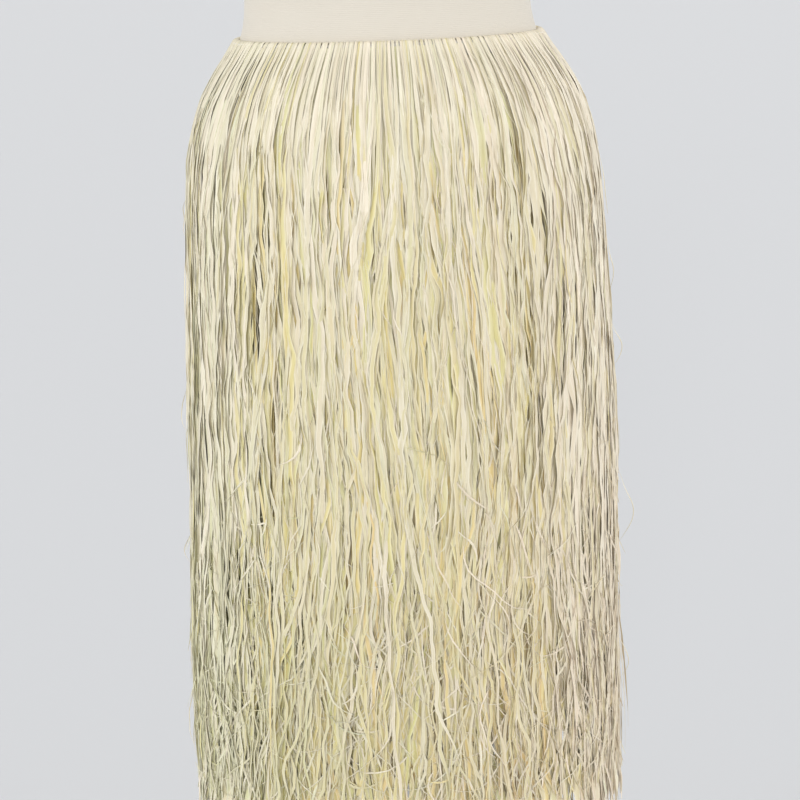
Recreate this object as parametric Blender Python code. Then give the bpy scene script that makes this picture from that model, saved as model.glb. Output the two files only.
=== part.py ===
"""A raffia grass skirt worn by a limbless dress form that stands on a round plate.

Metres, +Z up, and the front faces -Y. The origin is on the floor under the middle of the plate.
Run it with blender --background --python part.py, or from Blender's text editor.
"""

import math
import random

import bmesh
import bpy

# Skirt --------------------------------------------------------------------------------------
BAND_TOP_Z = 1.020  # where the strands fold over the elastic
HEAD_HEIGHT = 0.0150  # how far the folded heads reach down
HEAD_ROOF = 0.0026  # strands above the elastic
ELASTIC_THICKNESS = 0.0016
SEAM = 0.0003  # gap between neighbouring pieces
SKIN_GAP = 0.0010  # between the form and the innermost strands at the heads
INNER_LEG = 0.0018  # strands between the elastic and the form
OUTER_LEG = 0.0025  # strands in front of the elastic
HEAD_FLARE = 0.0022  # how much further out the heads stand at their lower edge
OUTER_RAGGED = 0.010  # how much the ends of the outer strands differ in length
INNER_RAGGED = 0.008
SKIRT_COLUMNS = 64
CLUMP_COUNTS = (24, 15)  # strands hang together in clumps, of two sizes

# Both falls hang on the form down to its hips, and straight down from there. Every row is one
# level: how far below the top edge it is, how far the face and the back of the wall stand off
# the figure, and how high the clumps stand out of the face.
OUTER_FALL = (
    # drop, face, back, clumps
    (0.0153, 0.0100, 0.0055, 0.0002),
    (0.030, 0.0130, 0.0080, 0.0006),
    (0.056, 0.0160, 0.0095, 0.0012),
    (0.085, 0.0170, 0.0100, 0.0016),
    (0.120, 0.0175, 0.0105, 0.0020),
    (0.150, 0.0185, 0.0110, 0.0022),
    (0.220, 0.0220, 0.0140, 0.0025),
    (0.330, 0.0275, 0.0190, 0.0025),
    (0.450, 0.0290, 0.0205, 0.0025),
    (0.560, 0.0300, 0.0215, 0.0025),
    (0.650, 0.0305, 0.0220, 0.0025),
)
INNER_FALL = (
    # drop, face, back, clumps
    (0.0153, 0.0035, 0.0012, 0.0001),
    (0.030, 0.0060, 0.0020, 0.0003),
    (0.056, 0.0075, 0.0020, 0.0005),
    (0.085, 0.0080, 0.0020, 0.0005),
    (0.120, 0.0085, 0.0020, 0.0005),
    (0.150, 0.0090, 0.0025, 0.0005),
    (0.220, 0.0120, 0.0045, 0.0005),
    (0.330, 0.0170, 0.0090, 0.0005),
    (0.450, 0.0185, 0.0105, 0.0005),
    (0.560, 0.0195, 0.0115, 0.0005),
    (0.672, 0.0200, 0.0125, 0.0005),
    (0.695, 0.0255, 0.0165, 0.0015),
    (0.720, 0.0295, 0.0190, 0.0022),
)

# Dress form ---------------------------------------------------------------------------------
HIP_Z = 0.872  # the form is widest here, and the skirt leaves it
FORM_COLUMNS = 40
FORM_SECTIONS = (
    # height, half_width, half_depth, back, squareness
    (0.7500, 0.1500, 0.1050, 0.008, 2.2),
    (0.7530, 0.1570, 0.1105, 0.008, 2.2),
    (0.7620, 0.1610, 0.1135, 0.008, 2.2),
    (0.8000, 0.1665, 0.1170, 0.008, 2.2),
    (HIP_Z, 0.1730, 0.1200, 0.008, 2.2),
    (0.9000, 0.1715, 0.1175, 0.007, 2.2),
    (0.9350, 0.1665, 0.1130, 0.005, 2.2),
    (0.9640, 0.1580, 0.1070, 0.003, 2.15),
    (0.9850, 0.1495, 0.1015, 0.002, 2.15),
    (1.0080, 0.1385, 0.0955, 0.001, 2.1),
    (1.0200, 0.1335, 0.0930, 0.000, 2.1),
    (1.0350, 0.1300, 0.0910, 0.000, 2.1),
    (1.0550, 0.1285, 0.0900, 0.000, 2.1),
    (1.0900, 0.1300, 0.0915, -0.001, 2.1),
    (1.1500, 0.1400, 0.1010, -0.004, 2.2),
    (1.2150, 0.1510, 0.1160, -0.010, 2.3),
    (1.2500, 0.1560, 0.1180, -0.010, 2.4),
    (1.3000, 0.1620, 0.1080, -0.003, 2.5),
    (1.3450, 0.1680, 0.0950, 0.004, 2.5),
    (1.3750, 0.1650, 0.0850, 0.008, 2.5),
    (1.3980, 0.1480, 0.0775, 0.011, 2.4),
    (1.4180, 0.1180, 0.0715, 0.012, 2.3),
    (1.4360, 0.0880, 0.0660, 0.012, 2.2),
    (1.4550, 0.0680, 0.0610, 0.010, 2.1),
    (1.4800, 0.0575, 0.0565, 0.007, 2.0),
    (1.5100, 0.0545, 0.0545, 0.004, 2.0),
    (1.5300, 0.0550, 0.0550, 0.003, 2.0),
)
FORM_BOTTOM_Z = FORM_SECTIONS[0][0]
NECK_TOP_Z, _, _, NECK_BACK, _ = FORM_SECTIONS[-1]
CAP_RADIUS = 0.063
CAP_THICKNESS = 0.014

# Stand --------------------------------------------------------------------------------------
PLATE_RADIUS = 0.180
PLATE_THICKNESS = 0.010
FLANGE_RADIUS = 0.034
FLANGE_HEIGHT = 0.022
POLE_RADIUS = 0.0125
COLLAR_RADIUS = 0.030
COLLAR_HEIGHT = 0.016
ROUND_COLUMNS = 40


def clear_scene():
    for obj in list(bpy.data.objects):
        bpy.data.objects.remove(obj)


def material(name, colour, roughness, metallic=0.0):
    """A Principled material of one colour."""
    made = bpy.data.materials.new(name)
    made.use_nodes = True
    shader = made.node_tree.nodes["Principled BSDF"]
    shader.inputs["Base Color"].default_value = (*colour, 1.0)
    shader.inputs["Roughness"].default_value = roughness
    shader.inputs["Metallic"].default_value = metallic
    return made


def node(name, bm, mat):
    """Turns a bmesh into a smooth-shaded object with its faces pointing out."""
    bmesh.ops.recalc_face_normals(bm, faces=bm.faces)
    mesh = bpy.data.meshes.new(name)
    bm.to_mesh(mesh)
    bm.free()
    mesh.shade_smooth()
    mesh.set_sharp_from_angle(angle=math.radians(40))
    mesh.materials.append(mat)
    obj = bpy.data.objects.new(name, mesh)
    bpy.context.scene.collection.objects.link(obj)
    return obj


# --- The figure and the rings worked out from it ----------------------------------------------


def slopes(xs, ys):
    """Slopes for a smooth curve through the points that never overshoots them."""
    steps = [(ys[i + 1] - ys[i]) / (xs[i + 1] - xs[i]) for i in range(len(xs) - 1)]
    inner = [
        0.0 if a * b <= 0 else 2 * a * b / (a + b) for a, b in zip(steps, steps[1:])
    ]
    return [steps[0], *inner, steps[-1]]


def read_table(table, at):
    """The row of a table at any value of its first column, on cubics through the rows."""
    xs = [row[0] for row in table]
    at = min(max(at, xs[0]), xs[-1])
    i = min(sum(x <= at for x in xs), len(xs) - 1) - 1
    width = xs[i + 1] - xs[i]
    t = (at - xs[i]) / width
    row = []
    for ys in list(zip(*table))[1:]:
        slope = slopes(xs, ys)
        row.append(
            (1 + 2 * t) * (1 - t) ** 2 * ys[i]
            + t * (1 - t) ** 2 * width * slope[i]
            + t * t * (3 - 2 * t) * ys[i + 1]
            + t * t * (t - 1) * width * slope[i + 1]
        )
    return row


def ring(z, section, columns, stand_off=None):
    """Points round a superellipse section, each moved out by its own stand-off."""
    half_width, half_depth, back, squareness = section
    stand_off = stand_off or [0.0] * columns
    points = []
    for k in range(columns):
        turn = 2 * math.pi * k / columns
        c = math.copysign(abs(math.cos(turn)) ** (2 / squareness), math.cos(turn))
        s = math.copysign(abs(math.sin(turn)) ** (2 / squareness), math.sin(turn))
        out = stand_off[k]
        points.append(((half_width + out) * c, (half_depth + out) * s + back, z))
    return points


def figure_ring(z, stand_off):
    """A ring round the form, or below its hips, straight under them."""
    section = read_table(FORM_SECTIONS, max(z, HIP_Z))
    return ring(z, section, SKIRT_COLUMNS, stand_off)


def join_rings(bm, lower, upper):
    for k in range(len(lower)):
        n = (k + 1) % len(lower)
        bm.faces.new((lower[k], lower[n], upper[n], upper[k]))


def solid_of_rings(name, rings, mat, closed_loop):
    """A body through rings of points: its two ends are filled, or joined to each other."""
    bm = bmesh.new()
    made = [[bm.verts.new(p) for p in points] for points in rings]
    for lower, upper in zip(made, made[1:]):
        join_rings(bm, lower, upper)
    if closed_loop:
        join_rings(bm, made[-1], made[0])
    else:
        bm.faces.new(made[0])
        bm.faces.new(made[-1])
    return node(name, bm, mat)


# --- Skirt ------------------------------------------------------------------------------------


def clump_heights(seed):
    """For every column, from -1 to 1, how far its clump stands in front of the others."""
    rng = random.Random(seed)
    heights = [0.0] * SKIRT_COLUMNS
    for count in CLUMP_COUNTS:
        phase = rng.uniform(0, 2 * math.pi)
        strength = [rng.uniform(0.2, 0.8) for _ in range(count)]
        for k in range(SKIRT_COLUMNS):
            turns = count * k / SKIRT_COLUMNS
            nearest = strength[int(turns) % count]
            heights[k] += nearest * math.cos(2 * math.pi * turns + phase)
    largest = max(abs(h) for h in heights)
    return [h / largest for h in heights]


def fall(name, table, ragged, seed, mat):
    """One layer of strands: a wall with clumps in its face and strand ends of many lengths."""
    rng = random.Random(seed)
    heights = clump_heights(seed)
    longer = [rng.uniform(-ragged, ragged) for _ in range(SKIRT_COLUMNS)]
    faces, backs = [], []
    for drop, face, back, clumps in table:
        face_ring = figure_ring(BAND_TOP_Z - drop, [face + clumps * h for h in heights])
        back_ring = figure_ring(BAND_TOP_Z - drop, [back] * SKIRT_COLUMNS)
        if drop == table[-1][0]:
            face_ring = [(x, y, z - d) for (x, y, z), d in zip(face_ring, longer)]
            back_ring = [(x, y, z - d) for (x, y, z), d in zip(back_ring, longer)]
        faces.append(face_ring)
        backs.append(back_ring)
    return solid_of_rings(name, faces + backs[::-1], mat, closed_loop=True)


def band_ring(name, profile, mat):
    """A ring round the waist with this cross-section: rows of height and stand-off."""
    rings = [figure_ring(z, [out] * SKIRT_COLUMNS) for z, out in profile]
    return solid_of_rings(name, rings, mat, closed_loop=True)


def make_skirt(raffia, shaded_raffia, elastic):
    bottom = BAND_TOP_Z - HEAD_HEIGHT
    slot_in = SKIN_GAP + INNER_LEG
    slot_out = slot_in + SEAM + ELASTIC_THICKNESS + SEAM
    outside = slot_out + OUTER_LEG
    roof = BAND_TOP_Z - HEAD_ROOF
    shoulder = 0.0016  # the fold is round on top
    heads = (
        # height, stand_off
        (bottom, outside + HEAD_FLARE),
        (BAND_TOP_Z - shoulder, outside),
        (BAND_TOP_Z, outside - shoulder),
        (BAND_TOP_Z, SKIN_GAP + shoulder),
        (BAND_TOP_Z - shoulder, SKIN_GAP),
        (bottom, SKIN_GAP),
        (bottom, slot_in),
        (roof, slot_in),
        (roof, slot_out),
        (bottom, slot_out),
    )
    band_ring("strand_heads", heads, raffia)
    band = (
        # height, stand_off
        (bottom + SEAM, slot_out - SEAM),
        (roof - SEAM, slot_out - SEAM),
        (roof - SEAM, slot_in + SEAM),
        (bottom + SEAM, slot_in + SEAM),
    )
    band_ring("waist_elastic", band, elastic)
    fall("outer_fall", OUTER_FALL, OUTER_RAGGED, 3, raffia)
    fall("inner_fall", INNER_FALL, INNER_RAGGED, 8, shaded_raffia)


# --- Dress form and stand ---------------------------------------------------------------------


def make_form(jersey):
    rings = [ring(z, section, FORM_COLUMNS) for z, *section in FORM_SECTIONS]
    solid_of_rings("form_torso", rings, jersey, closed_loop=False)


def disc(name, radius, height, base_z, mat, edge=0.0, y=0.0):
    """An upright cylinder that stands on base_z, with its upper and lower edges rounded."""
    bm = bmesh.new()
    bmesh.ops.create_cone(
        bm,
        cap_ends=True,
        segments=ROUND_COLUMNS,
        radius1=radius,
        radius2=radius,
        depth=height,
    )
    obj = node(name, bm, mat)
    obj.location = (0.0, y, base_z + height / 2)
    if edge:
        bevel = obj.modifiers.new("rounded edges", "BEVEL")
        bevel.width = edge
        bevel.segments = 2
        bevel.limit_method = "ANGLE"
    return obj


def make_stand(wood, paint, steel):
    disc("neck_cap", CAP_RADIUS, CAP_THICKNESS, NECK_TOP_Z + SEAM, wood, 0.003, NECK_BACK)
    disc("base_plate", PLATE_RADIUS, PLATE_THICKNESS, 0.0, paint, 0.002)
    pole_foot = PLATE_THICKNESS + SEAM
    pole_head = FORM_BOTTOM_Z - SEAM
    disc("pole", POLE_RADIUS, pole_head - pole_foot, pole_foot, steel)
    sleeve("base_flange", FLANGE_RADIUS, FLANGE_HEIGHT, pole_foot, paint)
    sleeve("pole_collar", COLLAR_RADIUS, COLLAR_HEIGHT, pole_head - COLLAR_HEIGHT, paint)


def sleeve(name, radius, height, base_z, mat):
    """A low ring round the pole, with a rounded outer edge."""
    bore = POLE_RADIUS + SEAM
    edge = 0.003
    profile = (
        # radius, height
        (bore, 0.0),
        (radius - edge, 0.0),
        (radius, edge),
        (radius, height - edge),
        (radius - edge, height),
        (bore, height),
    )
    rings = [
        ring(base_z + z, (r, r, 0.0, 2.0), ROUND_COLUMNS) for r, z in profile
    ]
    return solid_of_rings(name, rings, mat, closed_loop=True)


def main():
    clear_scene()
    raffia = material("raffia", (0.79, 0.70, 0.50), 0.55)
    shaded_raffia = material("inner_raffia", (0.66, 0.55, 0.34), 0.6)
    elastic = material("elastic", (0.86, 0.83, 0.76), 0.8)
    jersey = material("jersey", (0.77, 0.72, 0.63), 0.9)
    wood = material("beech", (0.60, 0.42, 0.25), 0.45)
    paint = material("white_paint", (0.78, 0.77, 0.73), 0.4)
    steel = material("steel", (0.60, 0.60, 0.60), 0.3, 1.0)
    make_skirt(raffia, shaded_raffia, elastic)
    make_form(jersey)
    make_stand(wood, paint, steel)


main()
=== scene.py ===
# %% [markdown]
# # A raffia grass skirt on a dress form
#
# This lesson dresses a plain model of a grass skirt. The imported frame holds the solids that
# carry the sizes: two falls of strands as walls, the elastic, the form and its stand. Here the
# walls give way to the strands themselves, each one a thin folded ribbon of leaf, and the form
# and the stand get their real surfaces and finishes.
#
# Everything is worked out as whole numpy arrays, in metres, with +Z up and the front at -Y.

# %% Load the frame
import math

import bpy
import numpy as np
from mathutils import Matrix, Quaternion, Vector
from mathutils.bvhtree import BVHTree


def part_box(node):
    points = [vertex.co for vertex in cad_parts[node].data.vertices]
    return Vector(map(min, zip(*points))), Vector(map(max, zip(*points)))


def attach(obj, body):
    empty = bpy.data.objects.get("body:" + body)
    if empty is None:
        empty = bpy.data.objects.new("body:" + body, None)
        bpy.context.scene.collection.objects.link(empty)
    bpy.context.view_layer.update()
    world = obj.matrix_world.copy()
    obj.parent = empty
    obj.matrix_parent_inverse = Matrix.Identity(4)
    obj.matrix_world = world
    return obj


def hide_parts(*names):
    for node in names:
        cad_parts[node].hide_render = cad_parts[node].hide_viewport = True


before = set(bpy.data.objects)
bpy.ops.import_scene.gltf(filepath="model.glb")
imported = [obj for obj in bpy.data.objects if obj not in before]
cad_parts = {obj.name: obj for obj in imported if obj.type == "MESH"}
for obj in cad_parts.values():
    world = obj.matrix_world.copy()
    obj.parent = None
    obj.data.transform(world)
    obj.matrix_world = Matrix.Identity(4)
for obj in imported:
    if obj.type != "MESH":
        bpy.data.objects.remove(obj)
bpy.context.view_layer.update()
print("nodes in the frame:", ", ".join(sorted(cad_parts)))

# %% [markdown]
# ## The camera
#
# The skirt is seen from the front, from a little above its waist, with a long lens that keeps
# its sides nearly parallel. The camera leans by two degrees, so the waist isn't quite level.
# Its place is worked out from the top edge of the skirt.

# %% Camera
TOP_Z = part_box("strand_heads")[1].z
CAMERA_AWAY = 2.2
CAMERA_ABOVE = 0.154
CAMERA_ASIDE = 0.0
AIM_BELOW = 0.3415
AIM_ASIDE = -0.0015
LENS = 108.3
LEAN = math.radians(-2.1)


def put(name, data):
    """An object for a mesh, a light or a camera, linked into the scene."""
    made = bpy.data.objects.new(name, data)
    bpy.context.scene.collection.objects.link(made)
    return made


def add_camera():
    """Looks from the camera's place to a point on the skirt's middle line, then leans."""
    data = bpy.data.cameras.new("camera")
    data.lens = LENS
    data.sensor_width = 36.0
    made = put("camera", data)
    made.location = (CAMERA_ASIDE, -CAMERA_AWAY, TOP_Z + CAMERA_ABOVE)
    aim = Vector((AIM_ASIDE, 0.0, TOP_Z - AIM_BELOW)) - made.location
    level = aim.to_track_quat("-Z", "Y")
    made.rotation_mode = "QUATERNION"
    made.rotation_quaternion = level @ Quaternion((0, 0, 1), LEAN)
    return made


bpy.context.scene.camera = add_camera()
bpy.context.scene.view_settings.view_transform = "Standard"
print("camera at", [round(v, 3) for v in bpy.context.scene.camera.location])

# %% [markdown]
# ## Floor and light
#
# A large pale floor runs past the edge of the picture in every direction. The light is even and
# soft. A weak, narrow sun from the camera's side hides its own shadows behind the strands, two
# broad suns light the sides, and a fourth lights the back. A pale sky fills the rest, so that
# the gaps between the strands are dark but never black.

# %% Floor and light
FLOOR_RADIUS = 80.0
FLOOR_SIDES = 96
FLOOR_COLOUR = (0.700, 0.720, 0.757)
NEUTRAL = (1.0, 0.99, 0.97)
WARM = (1.0, 0.985, 0.96)


def plain(name, colour, roughness, metallic=0.0):
    """A Principled material of one colour, to build on."""
    mat = bpy.data.materials.new(name)
    mat.use_nodes = True
    shader = mat.node_tree.nodes["Principled BSDF"]
    shader.inputs["Base Color"].default_value = (*colour, 1.0)
    shader.inputs["Roughness"].default_value = roughness
    shader.inputs["Metallic"].default_value = metallic
    return mat


def add_floor():
    """A disc at the foot of the stand."""
    turn = np.linspace(0, 2 * np.pi, FLOOR_SIDES, endpoint=False)
    rim = np.stack([FLOOR_RADIUS * np.cos(turn), FLOOR_RADIUS * np.sin(turn), 0 * turn], axis=1)
    mesh = bpy.data.meshes.new("floor")
    mesh.from_pydata(rim, [], [list(range(len(rim)))])
    mesh.materials.append(plain("floor", FLOOR_COLOUR, 0.9))
    put("floor", mesh)


def add_sun(name, way, strength, softness, colour):
    """Parallel light from a direction; its softness is the angle that the source fills."""
    data = bpy.data.lights.new(name, "SUN")
    data.energy = strength
    data.angle = softness
    data.color = colour
    made = put(name, data)
    made.rotation_mode = "QUATERNION"
    made.rotation_quaternion = (-Vector(way)).to_track_quat("-Z", "Y")


def add_sky(colour, strength):
    """One even colour all round."""
    world = bpy.data.worlds.new("sky")
    world.use_nodes = True
    shader = world.node_tree.nodes["Background"]
    shader.inputs["Color"].default_value = (*colour, 1.0)
    shader.inputs["Strength"].default_value = strength
    bpy.context.scene.world = world


add_floor()
add_sun("key", (-0.08, -0.97, 0.18), 0.82, math.radians(12), WARM)
add_sun("left side", (-0.90, -0.40, 0.20), 1.68, math.radians(50), NEUTRAL)
add_sun("right side", (0.90, -0.40, 0.20), 1.62, math.radians(50), WARM)
add_sun("back", (0.25, 0.93, 0.25), 0.80, math.radians(60), NEUTRAL)
add_sky(NEUTRAL, 0.61)

# %% [markdown]
# ## Measuring the falls
#
# The strands have to hang where the solids of the two falls are. Rays find the outer and inner
# side of each wall, level by level and all round. Every ring is then divided into equal lengths
# from the middle of the front, so that a strand that keeps its share of the waist spreads out
# over the hips by itself, as real strands do.

# %% Rays and rings
RING = 256  # points round every ring
CENTRE = np.array((0.0, 0.004))  # the middle line of the skirt, from above
FAR = 0.5  # outside everything, where the inward rays start


def node_tree(name):
    """A search tree of a node's triangles."""
    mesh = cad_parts[name].data
    mesh.calc_loop_triangles()
    points = [vertex.co for vertex in mesh.vertices]
    return BVHTree.FromPolygons(points, [tri.vertices for tri in mesh.loop_triangles])


def wall_ring(tree, z, outer, harmonics=14):
    """One side of a wall at one height, as distances from the centre line, made smooth.

    A ray runs inwards for the outer side and outwards for the inner side. Keeping only the
    slow waves of the distances takes the facets of the solid away.
    """
    turn = 2 * np.pi * np.arange(RING) / RING - np.pi / 2
    ways = np.stack([np.cos(turn), np.sin(turn), np.zeros(RING)], axis=1)
    centre = np.array((*CENTRE, z))
    distances = []
    for way in ways:
        start, heading = (centre + FAR * way, -way) if outer else (centre, way)
        _, _, _, reach = tree.ray_cast(Vector(start), Vector(heading))
        distances.append(FAR - reach if outer else reach)
    waves = np.fft.rfft(distances)
    waves[harmonics:] = 0
    smooth = np.fft.irfft(waves, RING)
    return centre + smooth[:, None] * ways


def even_lengths(ring):
    """The same closed ring, with its points at equal lengths along it."""
    closed = np.vstack([ring, ring[:1]])
    walked = np.concatenate([[0], np.cumsum(np.linalg.norm(np.diff(closed, axis=0), axis=1))])
    wanted = walked[-1] * np.arange(RING) / RING
    return np.stack([np.interp(wanted, walked, closed[:, axis]) for axis in range(3)], axis=1)


def ring_normals(ring):
    """Level unit vectors that point out of the ring."""
    ahead = np.roll(ring, -1, axis=0) - np.roll(ring, 1, axis=0)
    out = np.stack([ahead[:, 1], -ahead[:, 0], np.zeros(len(ring))], axis=1)
    return out / np.linalg.norm(out, axis=1, keepdims=True)


# %% Tables of the two falls
MEASURED = ("outer_fall", "inner_fall", "form_torso", "waist_elastic")
trees = {name: node_tree(name) for name in MEASURED}
elastic_low, elastic_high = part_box("waist_elastic")
elastic_z = (elastic_low.z + elastic_high.z) / 2
STRAND_THICK = 0.0009  # of the folded heads, as a layer
OUTER_END = 0.636  # how far below the top edge the solid of a fall can still be measured
INNER_END = 0.708
HEM_DROP = 0.750  # how far below the top edge the longest strands end
FALL_ROWS = 60


def path_lengths(middles):
    """How far along a strand each row lies, from the first, as a mean over the ring."""
    steps = np.linalg.norm(np.diff(middles, axis=0), axis=2).mean(axis=1)
    return np.concatenate([[0], np.cumsum(steps)])


def fall_rows(name, first_drop, last_drop):
    """Back and face rings of a fall at even drops; past its last level it hangs straight."""
    faces, backs = [], []
    for drop in np.linspace(first_drop, HEM_DROP, FALL_ROWS):
        z = TOP_Z - min(drop, last_drop)
        shift = np.array((0, 0, min(drop, last_drop) - drop))
        faces.append(even_lengths(wall_ring(trees[name], z, True)) + shift)
        backs.append(even_lengths(wall_ring(trees[name], z, False)) + shift)
    return np.array(backs), np.array(faces)


def fold_rows(steps=6, leg=0.0105):
    """Rings of the folded heads: up inside the elastic, over it in a half circle, and out.

    The fold is centred on the elastic, so its radius is half of the way from the middle of the
    gap inside it to the middle of the strands outside it.
    """
    skin = even_lengths(wall_ring(trees["form_torso"], elastic_z, True))
    band_in = even_lengths(wall_ring(trees["waist_elastic"], elastic_z, False))
    band_out = even_lengths(wall_ring(trees["waist_elastic"], elastic_z, True))
    gap = np.linalg.norm(band_in - skin, axis=1).mean()
    band = np.linalg.norm(band_out - band_in, axis=1).mean()
    inside = STRAND_THICK * 0.5 + 0.0004
    outside = gap + band + STRAND_THICK + 0.0008
    middle, radius = (inside + outside) / 2, (outside - inside) / 2
    centre_z = TOP_Z - STRAND_THICK * 0.6 - radius
    angles = np.linspace(np.pi, 0, steps + 1)
    rows = [(inside, centre_z - leg, np.pi)]
    rows += [(middle + radius * np.cos(a), centre_z + radius * np.sin(a), a) for a in angles]
    skins = [even_lengths(wall_ring(trees["form_torso"], z, True)) for _, z, _ in rows]
    outs = [ring_normals(ring) for ring in skins]
    middles = np.array([ring + row[0] * out for ring, out, row in zip(skins, outs, rows)])
    ways = np.array([np.cos(row[2]) * out + (0, 0, np.sin(row[2])) for out, row in zip(outs, rows)])
    half = STRAND_THICK * 0.5
    return middles - half * ways, middles + half * ways, steps // 2 + 1


FALL_TOP = TOP_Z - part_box("outer_fall")[1].z + 0.0005
outer_backs, outer_faces = fall_rows("outer_fall", FALL_TOP, OUTER_END)
inner_backs, inner_faces = fall_rows("inner_fall", FALL_TOP, INNER_END)
fold_backs, fold_faces, fold_top = fold_rows()


def fall_table(backs, faces, top_row):
    """A fall as rows of rings, each with its distance along a strand from the top row."""
    along = path_lengths((backs + faces) / 2)
    closed = np.concatenate([faces, faces[:, :1]], axis=1)
    round_it = np.linalg.norm(np.diff(closed, axis=1), axis=2).sum(axis=1)
    return {"along": along - along[top_row], "back": backs, "face": faces, "round": round_it}


outer = fall_table(
    np.concatenate([fold_backs, outer_backs]), np.concatenate([fold_faces, outer_faces]), fold_top
)
inner = fall_table(inner_backs, inner_faces, 0)
inner["along"] = inner["along"] + outer["along"][len(fold_backs)]
print("round the waist", outer["round"][fold_top].round(3), "m")
print("round the hem", outer["round"][-1].round(3), "m")

HEM_ASIDE = -0.0055  # the lower skirt hangs this far to one side


def ease(value, low, high):
    """0 below low, 1 above high, and a smooth step between them."""
    t = np.clip((value - low) / (high - low), 0, 1)
    return t * t * (3 - 2 * t)


def hang(fall, share, along, layer, proud):
    """Points on a fall, and the way out of it there.

    share is the part of the way round from the middle of the front, along the distance down the
    strand, layer 0 on the back of the wall and 1 on its face, and proud metres beyond that.
    Below the hips everything also moves a little to one side.
    """
    row = np.interp(along, fall["along"], np.arange(len(fall["along"])))
    low = np.minimum(row.astype(int), len(fall["along"]) - 2)
    down = (row - low)[..., None]
    column = np.mod(share, 1.0) * RING
    left = column.astype(int) % RING
    right = (left + 1) % RING
    across = (column - column.astype(int))[..., None]

    def read(rings):
        upper = rings[low, left] * (1 - across) + rings[low, right] * across
        lower = rings[low + 1, left] * (1 - across) + rings[low + 1, right] * across
        return upper * (1 - down) + lower * down

    back, face = read(fall["back"]), read(fall["face"])
    out = face - back
    out /= np.linalg.norm(out, axis=-1, keepdims=True)
    points = back + (face - back) * layer[..., None] + out * proud[..., None]
    points[..., 0] += HEM_ASIDE * ease(along, 0.38, 0.62)
    return points, out


# %% [markdown]
# ## From paths to ribbons
#
# A raffia strand is a strip of palm leaf that has dried and folded along its middle. Each one is
# made as a thin tube with four edges: two outer edges, a ridge and the valley behind it. The
# tube turns slowly about its own path, so that it shows its broad face here and its thin edge
# there. All strands of a layer are one mesh, worked out as one array.

# %% Ribbons from paths
def unit(vectors):
    """Vectors of length one."""
    return vectors / np.maximum(np.linalg.norm(vectors, axis=-1, keepdims=True), 1e-12)


def ribbon_rings(points, out, width, thick, crease, twist):
    """Four points round every path point: one edge, the ridge, the other edge, the valley.

    The ridge stands out by the crease, a share of the width, plus half of the thickness.
    """
    ahead = unit(np.gradient(points, axis=1))
    normal = unit(out - ahead * np.sum(out * ahead, axis=-1, keepdims=True))
    side = np.cross(ahead, normal)
    cos, sin = np.cos(twist)[..., None], np.sin(twist)[..., None]
    face, edge = cos * normal + sin * side, cos * side - sin * normal
    half = (width / 2)[..., None]
    rise = (crease * width)[..., None]
    depth = (thick / 2)[..., None]
    ring = [points - half * edge, points + face * (rise + depth)]
    ring += [points + half * edge, points + face * (rise - depth)]
    return np.stack(ring, axis=2)


def strip_uv(count, segments, rows):
    """Every strand's own strip of the map: its four sides beside each other, its ends in the
    margin above and below. Strips stand side by side in a few rows."""
    columns = -(-count // rows)
    left = (np.arange(count) % columns)[:, None, None, None] / columns
    base = (np.arange(count) // columns)[:, None, None, None] / rows
    side = (np.arange(4)[None, None, :, None] + np.array((0, 1, 1, 0))) / 4 * 0.88 + 0.06
    step = (np.arange(segments)[None, :, None, None] + np.array((0, 0, 1, 1))) / segments
    shape = (count, segments, 4, 4)
    u = np.broadcast_to(left + side / columns, shape)
    v = np.broadcast_to(base + (step * 0.94 + 0.03) / rows, shape)
    sides = np.stack([u, v], axis=-1).reshape(-1, 2)
    end_u = left[:, :, 0, :] + np.array((0.06, 0.94, 0.94, 0.06)) / columns
    end_v = base[:, :, 0, :] + np.array([[0.0, 0.0, 0.02, 0.02], [0.98, 0.98, 1.0, 1.0]]) / rows
    end_u = np.broadcast_to(end_u, (count, 2, 4))
    end_v = np.broadcast_to(end_v, (count, 2, 4))
    return np.concatenate([sides, np.stack([end_u, end_v], axis=-1).reshape(-1, 2)])


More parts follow.
